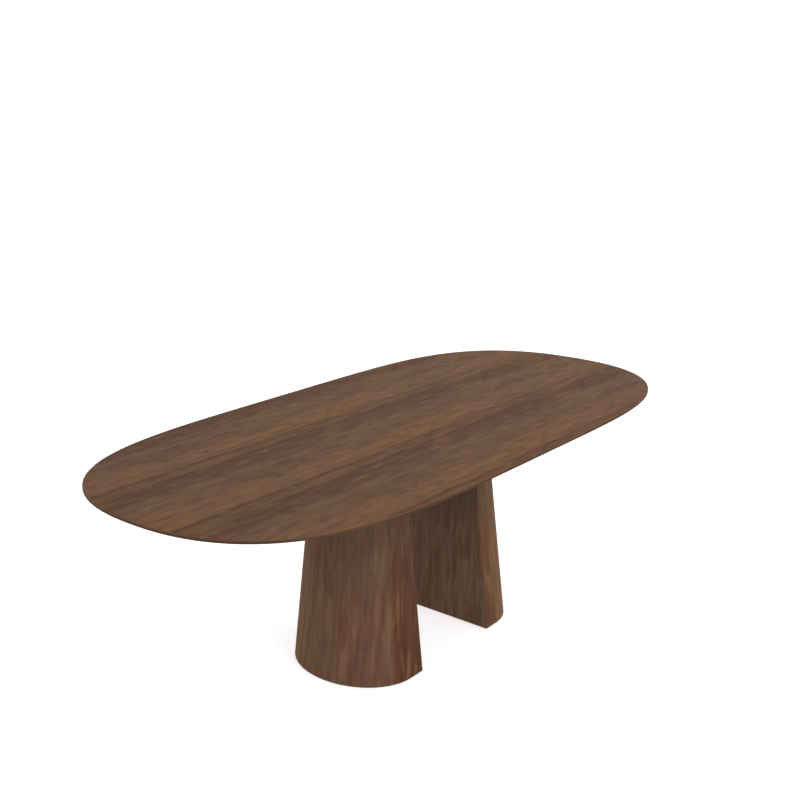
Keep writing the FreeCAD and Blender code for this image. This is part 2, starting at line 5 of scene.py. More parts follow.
import bmesh
import bpy
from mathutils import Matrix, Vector

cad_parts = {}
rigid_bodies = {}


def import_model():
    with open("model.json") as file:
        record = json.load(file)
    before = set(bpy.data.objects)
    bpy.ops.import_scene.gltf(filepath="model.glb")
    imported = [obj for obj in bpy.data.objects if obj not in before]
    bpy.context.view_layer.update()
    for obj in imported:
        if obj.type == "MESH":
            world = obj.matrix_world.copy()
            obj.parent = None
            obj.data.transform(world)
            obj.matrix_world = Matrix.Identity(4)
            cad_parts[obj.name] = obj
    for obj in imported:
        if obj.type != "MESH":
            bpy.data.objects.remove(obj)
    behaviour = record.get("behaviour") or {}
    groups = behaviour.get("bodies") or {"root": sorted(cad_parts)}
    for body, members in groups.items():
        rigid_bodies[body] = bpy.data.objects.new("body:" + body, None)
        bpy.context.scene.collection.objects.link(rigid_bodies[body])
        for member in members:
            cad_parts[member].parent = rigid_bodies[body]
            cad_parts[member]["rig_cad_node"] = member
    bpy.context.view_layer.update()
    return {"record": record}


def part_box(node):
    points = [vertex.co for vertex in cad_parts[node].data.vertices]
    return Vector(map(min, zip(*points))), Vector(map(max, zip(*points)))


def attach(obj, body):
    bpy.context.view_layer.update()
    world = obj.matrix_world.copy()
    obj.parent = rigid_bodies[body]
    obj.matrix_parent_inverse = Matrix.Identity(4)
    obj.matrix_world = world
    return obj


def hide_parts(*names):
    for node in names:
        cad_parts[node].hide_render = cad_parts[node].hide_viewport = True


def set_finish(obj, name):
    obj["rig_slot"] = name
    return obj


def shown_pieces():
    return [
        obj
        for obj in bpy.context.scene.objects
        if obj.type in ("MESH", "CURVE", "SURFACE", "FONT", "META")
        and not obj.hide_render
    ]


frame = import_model()

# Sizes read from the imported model
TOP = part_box("face_veneer_middle")[1].z
VENEER_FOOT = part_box("face_veneer_middle")[0].z
HALF_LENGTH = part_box("face_veneer_middle")[1].x
HALF_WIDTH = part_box("face_veneer_back")[1].y
LEAF_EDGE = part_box("face_veneer_middle")[1].y
LEAF_WIDTH = 2 * LEAF_EDGE
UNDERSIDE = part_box("underside_veneer")[0].z
LIPPING_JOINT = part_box("lipping_end_back_right")[0].x
LEG_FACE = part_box("right_leg_face_panel")[0].x
LEG_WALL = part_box("right_leg_face_panel")[1].x - LEG_FACE
LEG_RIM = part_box("right_leg_shell")[0].z
RIM_HALF_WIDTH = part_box("right_leg_shell")[1].y
RIM_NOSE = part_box("right_leg_shell")[1].x

# Sizes of the oval top's outline and edge, which no box gives
END_POWER = 4.5
SIDE_POWER = 2.3
EDGE_HEIGHT = 0.011
BEVEL_WIDTH = 0.070
LIPPING_WIDTH = 0.076
TOP_ARRIS = 0.004
EDGE_ARRIS = 0.0015
OUTLINE_STEPS = 56
ARRIS_STEPS = 4

# Sizes of a leg that no box gives
LEG_DRAFT = math.radians(6)
LEG_SIDE = 0.060
CORNER_ARRIS = 0.0012
RIM_ARRIS = 0.0015
NOSE_STEPS = 28
SIDE_STEPS = 3
WALL_STEPS = 12

# Sizes of the bolts and feet that no box gives
TURNED_SIDES = 36
HEAD_RADIUS = 0.007
HEAD_HEIGHT = 0.0044
HEAD_ROUND = 0.0016
SOCKET_FLATS = 0.005
SOCKET_DEPTH = 0.0024
BOLT_RADIUS = 0.0039
PAD_RADIUS = 0.017
PAD_RIM = 0.003
PAD_HEIGHT = 0.006
PAD_SLOPE = 0.003
PAD_ROUND = 0.001
SOLE_RADIUS = 0.012
SOLE_RECESS = 0.0006
SPIGOT_RADIUS = 0.005
SPIGOT_PLAY = 0.0003
COLLAR_FLATS = 0.013
COLLAR_HEIGHT = 0.0045
COLLAR_CHAMFER = 0.0006
STEM_RADIUS = 0.0037
STEM_TIP = 0.0015
THREAD_PITCH = 0.00125
THREAD_DEPTH = 0.0006
THREAD_STEPS = 6

# How meshes are welded and shaded
WELD_REACH = 2e-6
LEAST_EDGE = 1e-6
SHARP_ANGLE = math.radians(35)
NORMAL_WEIGHT = 100

# The photograph's camera
CAMERA_PLACE = (-2.70595, -2.13861, 1.79459)
CAMERA_AZIMUTH = math.radians(-51.5)
CAMERA_ELEVATION = math.radians(15.818)
CAMERA_LENS = 50.08
CAMERA_SENSOR = 36

SIDES = {"left": -1, "right": 1}
DEPTHS = {"front": -1, "back": 1}
BODY_OF = {node: body for body, nodes in frame["record"]["behaviour"]["bodies"].items() for node in nodes}
SLOT_OF = {item["node"]: item["material_slot"] for item in frame["record"]["subparts"]}


# Meshes

class Sheet:
    """A mesh made of grids and flat faces, each with its own place along and across the grain."""

    def __init__(self):
        self.mesh = bmesh.new()
        self.grain = self.mesh.loops.layers.uv.new("grain")

    def face(self, corners, places):
        face = self.mesh.faces.new([self.mesh.verts.new(corner) for corner in corners])
        for loop, place in zip(face.loops, places):
            loop[self.grain].uv = place

    def grid(self, rows, places, closed=False):
        """Faces between rows of points; a closed grid joins each row's last point to its first."""
        count = len(rows[0])
        for low, high, low_places, high_places in zip(rows, rows[1:], places, places[1:]):
            for here in range(count if closed else count - 1):
                there = (here + 1) % count
                self.face([low[here], low[there], high[there], high[here]],
                          [low_places[here], low_places[there], high_places[there], high_places[here]])

    def finish(self, name, node):
        """Weld the mesh and show it in the place of a CAD node, on that node's body."""
        bmesh.ops.remove_doubles(self.mesh, verts=self.mesh.verts, dist=WELD_REACH)
        bmesh.ops.dissolve_degenerate(self.mesh, edges=self.mesh.edges, dist=LEAST_EDGE)
        bmesh.ops.recalc_face_normals(self.mesh, faces=self.mesh.faces)
        data = bpy.data.meshes.new(name)
        self.mesh.to_mesh(data)
        self.mesh.free()
        data.shade_smooth()
        data.set_sharp_from_angle(angle=SHARP_ANGLE)
        shown = bpy.data.objects.new(name, data)
        bpy.context.scene.collection.objects.link(shown)
        normals = shown.modifiers.new("flat_faces_stay_flat", "WEIGHTED_NORMAL")
        normals.keep_sharp = True
        normals.weight = NORMAL_WEIGHT
        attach(shown, BODY_OF[node])
        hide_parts(node)
        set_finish(shown, SLOT_OF[node])


def spread(start, end, steps):
    return [start + (end - start) * step / steps for step in range(steps + 1)]


def arris(radius, start=0, end=math.pi / 2):
    """(inset, drop) of the points of a quarter round, from its foot to its top, or of a part of it."""
    return [(radius * (1 - math.cos(turn)), radius * (1 - math.sin(turn)))
            for turn in spread(start, end, ARRIS_STEPS)]


# Outline of the top

def oval_point(inset, turn, sign_x, sign_y):
    """A point of the outline, moved inwards, in the quarter that the signs give."""
    along = max(0, math.cos(turn))
    across = (1 - along ** END_POWER) ** (1 / SIDE_POWER)
    return sign_x * (HALF_LENGTH - inset) * along, sign_y * (HALF_WIDTH - inset) * across


def turn_at_x(inset, x):
    return math.acos(min(1, x / (HALF_LENGTH - inset)))


def turn_at_y(inset, y):
    return math.acos((1 - (y / (HALF_WIDTH - inset)) ** SIDE_POWER) ** (1 / END_POWER))


def end_arc(inset, sign_x):
    """The stretch of the outline round one end, between the joints of the middle leaf."""
    limit = turn_at_y(inset, LEAF_EDGE)
    lower = [oval_point(inset, turn, sign_x, -1) for turn in spread(limit, 0, OUTLINE_STEPS)]
    upper = [oval_point(inset, turn, sign_x, 1) for turn in spread(0, limit, OUTLINE_STEPS)]
    return lower + upper[1:]


def side_arc(inset, sign_y):
    """The stretch of the outline along one side, outside the middle leaf, from right to left."""
    limit = turn_at_y(inset, LEAF_EDGE)
    right = [oval_point(inset, turn, 1, sign_y) for turn in spread(limit, math.pi / 2, OUTLINE_STEPS)]
    left = [oval_point(inset, turn, -1, sign_y) for turn in spread(math.pi / 2, limit, OUTLINE_STEPS)]
    return right + left[1:]


# Where the round of the upper edge passes from the lipping into the face veneer
VENEER_TURN = math.asin(1 - (TOP - VENEER_FOOT) / TOP_ARRIS)


def make_leaf(depth):
    """One leaf of the face veneer, its outer edge rounded over."""
    node = f"face_veneer_{depth}"
    rows = []
    for inset, drop in arris(TOP_ARRIS, VENEER_TURN):
        if depth == "middle":
            outline = end_arc(inset, 1) + end_arc(inset, -1)[::-1]
        else:
            outline = side_arc(inset, DEPTHS[depth])
        rows.append([(x, y, TOP - drop) for x, y in outline])
    places = [[point[:2] for point in row] for row in rows]
    sheet = Sheet()
    sheet.grid(rows, places, closed=True)
    sheet.face(rows[-1], places[-1])
    sheet.face(rows[0], places[0])
    sheet.finish(f"{node}_leaf", node)


def lipping_profile():
    """(inset, level) round the section of the lipping, its upper and lower edges rounded."""
    edge_foot = TOP - EDGE_HEIGHT
    bevel_turn = math.atan2(edge_foot - UNDERSIDE, BEVEL_WIDTH)
    reach = EDGE_ARRIS * math.tan((math.pi / 2 - bevel_turn) / 2)
    upper = [(inset, TOP - drop) for inset, drop in arris(TOP_ARRIS, VENEER_TURN, 0)]
    lower = []
    for turn in spread(0, math.pi / 2 - bevel_turn, ARRIS_STEPS):
        inset = EDGE_ARRIS * (1 - math.cos(turn))
        lower.append((inset, edge_foot + reach - EDGE_ARRIS * math.sin(turn)))
    underside = [(BEVEL_WIDTH, UNDERSIDE), (LIPPING_WIDTH, UNDERSIDE)]
    return [(LIPPING_WIDTH, VENEER_FOOT), *upper, *lower, *underside]


# Where the grain of each length of lipping starts, far enough apart that no two lengths look alike
LENGTH_STARTS = {"side": -20, "end": 20}
LENGTH_STEP = 4


def make_lipping(stretch, depth, side):
    """One length of the solid lipping, its grain running along the edge."""
    node = f"lipping_{stretch}_{depth}_{side}"
    profile = lipping_profile()
    rows = []
    for share in spread(0, 1, 2 * OUTLINE_STEPS):
        row = []
        for inset, level in profile:
            joint = turn_at_x(inset, LIPPING_JOINT)
            start, end = (joint, math.pi / 2) if stretch == "side" else (0, joint)
            turn = start + (end - start) * share
            row.append((*oval_point(inset, turn, SIDES[side], DEPTHS[depth]), level))
        rows.append(row)
    around = [0]
    for (inset, level), (next_inset, next_level) in zip(profile, profile[1:]):
        around.append(around[-1] + math.hypot(next_inset - inset, next_level - level))
    along = [0]
    for row, following in zip(rows, rows[1:]):
        along.append(along[-1] + (Vector(following[1]) - Vector(row[1])).length)
    grain_start = LENGTH_STARTS[stretch] + (DEPTHS[depth] + SIDES[side] / 2) * LENGTH_STEP
    places = [[(grain_start + run, across - around[1]) for across in around] for run in along]
    sheet = Sheet()
    sheet.grid(rows, places, closed=True)
    for end in (0, -1):
        sheet.face(rows[end], places[end])
    sheet.finish(f"{node}_length", node)


# Legs

def leg_path(level, inset, corner):
    """The outline of a leg's shell at +X, from the back corner round the nose to the front corner."""
    shrink = (level - LEG_RIM) * math.tan(LEG_DRAFT) + inset
    half_width = RIM_HALF_WIDTH - shrink
    start = LEG_FACE + inset
    side_end = LEG_FACE + LEG_SIDE
    reach = RIM_NOSE - shrink - side_end
    back = corner_round(start, half_width, corner, math.pi / 2)
    back += [(x, half_width) for x in spread(start + corner, side_end, SIDE_STEPS)[1:]]
    for turn in spread(math.pi / 2, 0, NOSE_STEPS)[1:]:
        back.append((side_end + reach * math.cos(turn), half_width * math.sin(turn)))
    return mirrored(back)


def panel_path(level, inset, corner):
    """The outline of a leg's flat face at +X, from the back corner to the front corner."""
    half_width = RIM_HALF_WIDTH - (level - LEG_RIM) * math.tan(LEG_DRAFT) - inset
    start = LEG_FACE + inset
    back = corner_round(start, half_width, corner, math.pi)
    back += [(start, y) for y in spread(half_width - corner, 0, SIDE_STEPS)[1:]]
    return mirrored(back)


def corner_round(x, y, radius, end):
    """Half of the round at a leg's back corner, from the mitre to where it meets a face."""
    return [(x + radius * (1 + math.cos(turn)), y - radius * (1 - math.sin(turn)))
            for turn in spread(3 * math.pi / 4, end, ARRIS_STEPS)]


def mirrored(back):
    """A path's back half, followed by its mirror image in front."""
    return back + [(x, -y) for x, y in reversed(back[:-1])]


def run_along(path):
    """How far along a path each of its points lies, from the path's middle."""
    runs = [0]
    for (x, y), (next_x, next_y) in zip(path, path[1:]):
        runs.append(runs[-1] + math.hypot(next_x - x, next_y - y))
    return [run - runs[-1] / 2 for run in runs]


def make_leg_board(side, kind, path_of, shift, taper):
    """The shell or the flat face of a leg: outside, rim, inside and top, mitred at the corners."""
    node = f"{side}_leg_{kind}"
    sign = SIDES[side]
    sections = [(LEG_RIM + rise, inset) for inset, rise in reversed(arris(RIM_ARRIS))]
    sections += [(level, 0) for level in spread(LEG_RIM + RIM_ARRIS, UNDERSIDE, WALL_STEPS)[1:]]
    levels = [section[0] for section in sections]
    outside = [path_of(level, inset, CORNER_ARRIS) for level, inset in sections]
    inside = [path_of(level, LEG_WALL, 0) for level in levels]
    rows = []
    places = []
    for paths, depth in ((outside, 0), (inside, LEG_WALL)):
        rows.append([[(sign * x, sign * y, level) for x, y in path] for level, path in zip(levels, paths)])
        places.append([[(level - depth, run * (1 + taper * level) + shift) for run in run_along(path)]
                       for level, path in zip(levels, paths)])
    sheet = Sheet()
    for wall_rows, wall_places in zip(rows, places):
        sheet.grid(wall_rows, wall_places)
    for end in (0, -1):
        sheet.grid([wall[end] for wall in rows], [wall[end] for wall in places])
        sheet.grid([[row[end] for row in wall] for wall in rows],
                   [[row[end] for row in wall] for wall in places])
    sheet.finish(f"{node}_board", node)


# Bolts and feet

TURNS = spread(0, 2 * math.pi, TURNED_SIDES)[:-1]


def circle(radius):
    """Distances of a circle's points from its middle."""
    return [radius] * len(TURNS)


def hexagon(flats, limit=math.inf):
    """Distances of a hexagon's points from its middle, its corners cut back to a limit."""
    sixth = math.pi / 3
    return [min(limit, flats / 2 / math.cos((turn + sixth / 2) % sixth - sixth / 2)) for turn in TURNS]


def thread(level, limit):
    """Distances of the points of one cut through a screw thread from its axis."""
    reaches = []
    for turn in TURNS:
        share = (level / THREAD_PITCH - turn / (2 * math.pi)) % 1
        reaches.append(min(limit, STEM_RADIUS - THREAD_DEPTH * abs(2 * share - 1)))
    return reaches


def add_turned(sheet, x, y, rings):
    """Add a closed solid round an upright axis, from rings of (level, distances from the axis)."""
    rows = []
    places = []
    for level, reaches in rings:
        rows.append([(x + reach * math.cos(turn), y + reach * math.sin(turn), level)
                     for turn, reach in zip(TURNS, reaches)])
        places.append([(turn * STEM_RADIUS, level) for turn in TURNS])
    sheet.grid(rows, places, closed=True)
    for end in (0, -1):
        sheet.face(rows[end], places[end])


def bolt_rings(foot, end):
    """A button-head bolt that stands on its head, from the floor of its socket up."""
    rings = [(foot + SOCKET_DEPTH, hexagon(SOCKET_FLATS)), (foot, hexagon(SOCKET_FLATS))]
    for inset, drop in arris(HEAD_ROUND, math.pi / 2, 0):
        rings.append((foot + drop, circle(HEAD_RADIUS - inset)))
    seat = foot + HEAD_HEIGHT
    tip = HEAD_ROUND / 2
    return rings + [(seat, circle(HEAD_RADIUS)), (seat, circle(BOLT_RADIUS)),
                    (end - tip, circle(BOLT_RADIUS)), (end, circle(BOLT_RADIUS - tip))]


def make_bolts(side):
    """The four bolts of one leg."""
    node = f"{side}_top_bolts"
    low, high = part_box(node)
    sheet = Sheet()
    for x in (low.x + HEAD_RADIUS, high.x - HEAD_RADIUS):
        for y in (low.y + HEAD_RADIUS, high.y - HEAD_RADIUS):
            add_turned(sheet, x, y, bolt_rings(low.z, high.z))
    sheet.finish(f"{node}_set", node)


def pad_rings():
    """A foot's pad: a dished sole, a rounded rim, a sloping crown and a socket for the stem."""
    rings = [(SOLE_RECESS, circle(SOLE_RADIUS)), (0, circle(SOLE_RADIUS + SOLE_RECESS))]
    rings += [(drop, circle(PAD_RADIUS - inset)) for inset, drop in arris(PAD_ROUND, math.pi / 2, 0)]
    rings.append((PAD_RIM, circle(PAD_RADIUS)))
    crown = PAD_RADIUS - PAD_SLOPE
    rings.append((PAD_HEIGHT - PAD_ROUND, circle(crown + PAD_ROUND)))
    rings.append((PAD_HEIGHT, circle(crown - PAD_ROUND / 2)))
    socket = SPIGOT_RADIUS + SPIGOT_PLAY
    return rings + [(PAD_HEIGHT, circle(socket)), (PAD_RIM, circle(socket))]


def stem_rings(end):
    """A foot's stem: a spigot, a hexagon collar with cut corners, and a threaded rod."""
    rings = [(PAD_RIM, circle(SPIGOT_RADIUS)), (PAD_HEIGHT, circle(SPIGOT_RADIUS))]
    collar_top = PAD_HEIGHT + COLLAR_HEIGHT
    cut = COLLAR_FLATS / 2
    rings += [(PAD_HEIGHT, hexagon(COLLAR_FLATS, cut)), (PAD_HEIGHT + COLLAR_CHAMFER, hexagon(COLLAR_FLATS)),
              (collar_top - COLLAR_CHAMFER, hexagon(COLLAR_FLATS)), (collar_top, hexagon(COLLAR_FLATS, cut))]
    steps = round((end - collar_top) / THREAD_PITCH * THREAD_STEPS)
    for level in spread(collar_top, end, steps):
        rings.append((level, thread(level, STEM_RADIUS - STEM_TIP + end - level)))
    return rings


def make_foot(foot):
    """The pad and the stem of one foot."""
    for kind, name in (("pad", "turned_pad"), ("stem", "threaded_stem")):
        node = f"{foot}_{kind}"
        low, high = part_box(node)
        rings = pad_rings() if kind == "pad" else stem_rings(high.z)
        sheet = Sheet()
        add_turned(sheet, (low.x + high.x) / 2, (low.y + high.y) / 2, rings)
        sheet.finish(f"{foot}_{name}", node)


# Materials

def linear(red, green, blue):
    """A colour in screen levels from 0 to 255, as a shader's linear values."""
    shares = [level / 255 for level in (red, green, blue)]
    return (*(share / 12.92 if share <= 0.04045 else ((share + 0.055) / 1.055) ** 2.4 for share in shares), 1)


# Stretches of noise that are drawn out to a whole range, and a seed's move of the noise along x, y and z
MIDDLE = (0.3, 0.7)
MOST = (0.2, 0.8)
SEED_MOVE = (1.0, 0.37, 0.71)

# Waves of noise to the metre along and across the grain of walnut, and from leaf to leaf
TONE_WAVES = (3.0, 14, 1)
MOTTLE_WAVES = (6, 40, 1)
STREAK_WAVES = (8, 80, 1)
LINE_WAVES = (20, 230, 1)
PORE_WAVES = (75, 2300, 1)
WANDER_WAVES = (1.1, 3.0, 1)
RIPPLE_WAVES = (5.0, 14, 1)
FLECK_WAVES = (10, 62, 1)
SWAY_WAVES = (3.0, 9, 1)
WARM_WAVES = (4.5, 30, 1)
PALE_WAVES = (8.5, 40, 1)
EDGE_WAVES = (2.5, 60, 1)
UNDER_WAVES = (1.2, 22, 1)

# Pores, fine lines and lacquer of walnut
PORE_RANGE = (0.60, 0.70)
PORE_SHADE = 0.22
PORE_DEPTH = 0.00012
PORE_ROUGHNESS = 0.15
LINE_ROUGHNESS = 0.12
LINE_HEIGHT = 0.35
WOOD_SHINE = 0.05
WOOD_ROUGHNESS = 0.58

# Bands of one leaf of the face veneer: place across the leaf from its middle, and colour
FACE_BANDS = [
    (-0.160, linear(102, 72, 52)),
    (-0.147, linear(92, 62, 42)),
    (-0.135, linear(111, 81, 57)),
    (-0.100, linear(115, 84, 60)),
    (-0.040, linear(111, 81, 59)),
    (-0.010, linear(104, 75, 55)),
    (0.045, linear(108, 79, 60)),
    (0.095, linear(95, 65, 48)),
    (0.154, linear(92, 63, 45)),
    (0.164, linear(103, 74, 54)),
]

# Tints of walnut: where noise starts to show them, where they are full, their share there, and their colour
FACE_GOLD = (0.50, 0.70, 0.45, linear(118, 88, 56))
FACE_PLUM = (0.50, 0.30, 0.45, linear(93, 64, 52))
FACE_FLECK = (0.56, 0.76, 0.36, linear(130, 102, 76))
FACE_DASH = (0.58, 0.78, 0.42, linear(66, 44, 32))
LEG_RED = (0.48, 0.66, 0.52, linear(101, 66, 49))
LEG_DARK = (0.48, 0.32, 0.45, linear(88, 65, 51))
LEG_PALE = (0.52, 0.72, 0.46, linear(134, 102, 75))
LEG_PLUM = (0.46, 0.28, 0.35, linear(96, 69, 57))

# A painted shade of the legs by height above the floor, greyer and darker towards the table top as under its
# shadow, in the same order
LEG_TOP_SHADE = (0.20, 0.60, 0.60, linear(89, 72, 59))

# From leaf to leaf of the face veneer, the figure slips along the table and changes a little
LEAF_SLIP = 0.11
LEAF_CHANGE = 0.06

# How far the bands of a leaf wander and ripple sideways
WANDER = 0.030
RIPPLE = 0.012

# How much shorter the face veneer's streaks are than their waves say, and how much painted light grades it
# from darker at -X to lighter at +X along the table
FACE_STRETCH = 1.7
FACE_LIGHT_DRIFT = 0.03

# Tones round a leg: -1 and 1 at the shell's corners, 0 at its nose, and beyond 1 on the flat face, whose
# paler tone is partly its own veneer and partly painted light against the shade between the legs
LEG_TONES = [
    (-1.0, linear(72, 46, 34)),
    (-0.988, linear(90, 57, 39)),
    (-0.65, linear(92, 58, 39)),
    (-0.47, linear(114, 84, 67)),
    (0.0, linear(118, 87, 68)),
    (0.24, linear(128, 94, 70)),
    (0.65, linear(116, 87, 65)),
    (0.80, linear(125, 93, 63)),
    (0.90, linear(102, 72, 49)),
    (0.984, linear(97, 67, 50)),
    (1.0, linear(84, 52, 38)),
    # The flat face: its own paler veneer, and painted light against the shade between the legs
    (1.3, linear(129, 101, 83)),
]

# Leaves of a leg's veneer: width at the floor, place of a seam, narrowing upwards, change from leaf to leaf
LEG_LEAF = 0.105
LEG_SEAM = -0.065
LEAF_TAPER = 0.25
LEG_LEAF_CHANGE = 0.9

# How far the flat face's grain map lies from the shell's, which carries it onto the paler tone beyond 1,
# partly painted light
PANEL_SHIFT = 0.8

# Seams between a leg's leaves, and how far the streaks sway sideways
SEAM_WIDTH = 0.0016
SEAM_SHARE = 0.60
SEAM_COLOUR = linear(66, 44, 32)
SWAY = 0.006

# A tan strip on the leaves from this number outwards, fading out between these shares of the way round
TAN_LEAF = -2
TAN_RANGE = (-0.70, -0.63)
TAN_COLOUR = linear(116, 86, 66)

# The height from which painted light brightens a leg towards the top, against the shade under the table top,
# and by what factor
TOP_LIGHT_START = 0.55
TOP_LIGHT_GAIN = 1.08

# Lipping, with a painted highlight on its upper round, which fades between two distances down the edge
EDGE_DARK = linear(72, 53, 41)
EDGE_LIGHT = linear(88, 64, 49)
EDGE_HIGHLIGHT = linear(110, 81, 60)
HIGHLIGHT_RANGE = (0.0048, 0.0004)

# Balancing veneer
UNDER_DARK = linear(84, 60, 45)
UNDER_LIGHT = linear(110, 81, 59)

# Core board
BOARD_FIBRES = (700, 700, 700)
BOARD_CLOUDS = (25, 25, 60)
BOARD_RANGE = (0.7, 1.3)
BOARD_DARK = linear(134, 101, 68)
BOARD_LIGHT = linear(166, 131, 92)
BOARD_ROUGHNESS = (0.75, 0.95)
BOARD_SHINE = 0.2

# Plywood
PLY_THICKNESS = 0.0015
PLY_WAVES = (9, 240, 900)
CROSS_PLY_WAVES = (240, 9, 900)
PLY_DARK = linear(176, 141, 98)
PLY_LIGHT = linear(203, 170, 124)
CROSS_PLY_COLOUR = linear(146, 105, 66)
CROSS_PLY_SHARE = 0.35
PLY_ROUGHNESS = (0.6, 0.8)

# Softwood
RING_WAVES = (220, 220, 3)
RING_RANGE = (0.42, 0.62)
RING_PALE = linear(212, 176, 126)
RING_DARK = linear(176, 126, 78)
SOFTWOOD_FIBRES = (1500, 1500, 25)
SOFTWOOD_FLECK = 0.3
SOFTWOOD_ROUGHNESS = (0.55, 0.75)
RAW_WOOD_SHINE = 0.25

# Powder coat
COAT_SKIN = (900, 900, 900)
COAT_DUST = (40, 40, 40)
COAT_DARK = linear(27, 27, 28)
COAT_LIGHT = linear(40, 39, 38)
COAT_ROUGHNESS = (0.5, 0.68)
COAT_RELIEF = 0.0002
BLACK_SHINE = 0.4

# Zinc plate
ZINC_CLOUDS = (260, 260, 260)
ZINC_SPECKS = (2600, 2600, 2600)
ZINC_DARK = linear(172, 174, 176)
ZINC_LIGHT = linear(206, 205, 198)
ZINC_CLOUD_ROUGHNESS = 0.14
ZINC_SPECK_ROUGHNESS = 0.5

# Brass
BRASS_MARKS = (30, 30, 3200)
BRASS_TARNISH = (150, 150, 150)
TARNISH_RANGE = (0.35, 0.7)
BRASS_BRIGHT = linear(214, 180, 106)
BRASS_DULL = linear(178, 138, 74)
BRASS_ROUGHNESS = (0.22, 0.46)

# Nylon
NYLON_TEXTURE = (1600, 1600, 1600)
NYLON_SCUFFS = (300, 300, 80)
SCUFF_RANGE = (0.55, 0.75)
NYLON_BLACK = linear(33, 31, 29)
NYLON_SCUFFED = linear(58, 55, 52)
NYLON_ROUGHNESS = (0.42, 0.62)

# Depth of the relief of raw wood and nylon, and of metal
FINE_RELIEF = 0.0001
METAL_RELIEF = 0.00004


class Graph:
    """The nodes of one material, which end in its Principled shader."""

    def __init__(self, name):
        self.material = bpy.data.materials.new(name)
        self.material.use_nodes = True
        self.tree = self.material.node_tree
        self.shader = self.tree.nodes["Principled BSDF"]

    def feed(self, socket, value):
        """Link a socket to a node's output, or set it to a plain value."""
        if isinstance(value, bpy.types.NodeSocket):
            self.tree.links.new(value, socket)
        else:
            socket.default_value = value

    def add(self, kind, inputs, output=0, **settings):
        node = self.tree.nodes.new(kind)
        for name, setting in settings.items():
            setattr(node, name, setting)
        for key, value in inputs.items():
            self.feed(node.inputs[key], value)
        return node.outputs[output]

    def math(self, operation, *values):
        return self.add("ShaderNodeMath", dict(enumerate(values)), operation=operation)

    def split(self, vector):
        """The x, y and z of a vector."""
        node = self.tree.nodes.new("ShaderNodeSeparateXYZ")
        self.feed(node.inputs[0], vector)
        return node.outputs

    def join(self, x, y, z):
        return self.add("ShaderNodeCombineXYZ", {0: x, 1: y, 2: z})

    def object_place(self):
        """The place in the model's own frame."""
        return self.add("ShaderNodeTexCoord", {}, output="Object")

    def grain_place(self):
        """Along and across the grain, from the mesh's own grain map."""
        place = self.split(self.add("ShaderNodeUVMap", {}, uv_map="grain"))
        return place[0], place[1]

    def noise(self, place, waves, detail=2.0, seed=0.0):
        """Smooth noise from 0 to 1, with so many waves to the metre along x, y and z."""
        move = tuple(step * seed for step in SEED_MOVE)
        moved = self.add("ShaderNodeVectorMath", {0: place, 1: waves, 2: move}, operation="MULTIPLY_ADD")
        return self.add("ShaderNodeTexNoise", {"Vector": moved, "Scale": 1.0, "Detail": detail})

    def between(self, value, low, high, to_low=0.0, to_high=1.0):
        """A value eased from one range to another, and held at its ends."""
        return self.add("ShaderNodeMapRange", {0: value, 1: low, 2: high, 3: to_low, 4: to_high},
                        interpolation_type="SMOOTHSTEP")

    def about(self, value, share):
        """Noise from 0 to 1 as a factor about 1, up to half of the share each way."""
        return self.math("MULTIPLY_ADD", value, share, 1 - share / 2)

    def ramp(self, value, stops):
        """A colour from a list of (place from 0 to 1, colour)."""
        node = self.tree.nodes.new("ShaderNodeValToRGB")
        node.color_ramp.interpolation = "EASE"
        elements = node.color_ramp.elements
        while len(elements) < len(stops):
            elements.new(1.0)
        for element, (place, colour) in zip(elements, stops):
            element.position = place
            element.color = colour
        self.feed(node.inputs[0], value)
        return node.outputs[0]

    def mix(self, share, first, second):
        node = self.tree.nodes.new("ShaderNodeMix")
        node.data_type = "RGBA"
        for key, value in ((0, share), (6, first), (7, second)):
            self.feed(node.inputs[key], value)
        return node.outputs[2]

    def tint(self, colour, value, start, end, share, other):
        """Mix a share of another colour in where a value passes from a start to an end."""
        return self.mix(self.math("MULTIPLY", self.between(value, start, end), share), colour, other)

    def scale(self, colour, factor):
        return self.add("ShaderNodeVectorMath", {0: colour, "Scale": factor}, operation="SCALE")

    def finish(self, colour, roughness, height, relief, **plain):
        """Feed the shader: colour, roughness, and a height in metres as relief; the rest are plain values."""
        self.feed(self.shader.inputs["Base Color"], colour)
        self.feed(self.shader.inputs["Roughness"], roughness)
        bump = self.add("ShaderNodeBump", {"Height": height, "Strength": 1.0, "Distance": relief})
        self.feed(self.shader.inputs["Normal"], bump)
        for name, value in plain.items():
            self.shader.inputs[name.replace("_", " ")].default_value = value
        return self.material


def lacquered_walnut(graph, place, colour, mottle, streak, line):
    """Add mottling, streaks, fine lines and open pores to a walnut colour, under a matt lacquer."""
    clouds = graph.noise(place, MOTTLE_WAVES, detail=2.0, seed=31.0)
    streaks = graph.noise(place, STREAK_WAVES, detail=3.0, seed=3.0)
    lines = graph.noise(place, LINE_WAVES, detail=2.0, seed=11.0)
    pores = graph.between(graph.noise(place, PORE_WAVES, detail=1.0, seed=23.0), *PORE_RANGE)
    shade = graph.math("MULTIPLY", graph.about(streaks, streak), graph.about(lines, line))
    shade = graph.math("MULTIPLY", shade, graph.about(clouds, mottle))
    shade = graph.math("MULTIPLY", shade, graph.math("MULTIPLY_ADD", pores, -PORE_SHADE, 1.0))
    roughness = graph.math("MULTIPLY_ADD", lines, LINE_ROUGHNESS, WOOD_ROUGHNESS)
    roughness = graph.math("MULTIPLY_ADD", pores, PORE_ROUGHNESS, roughness)
    height = graph.math("MULTIPLY_ADD", pores, -1.0, graph.math("MULTIPLY", lines, LINE_HEIGHT))
    return graph.finish(graph.scale(colour, shade), roughness, height, PORE_DEPTH,
                        Specular_IOR_Level=WOOD_SHINE)


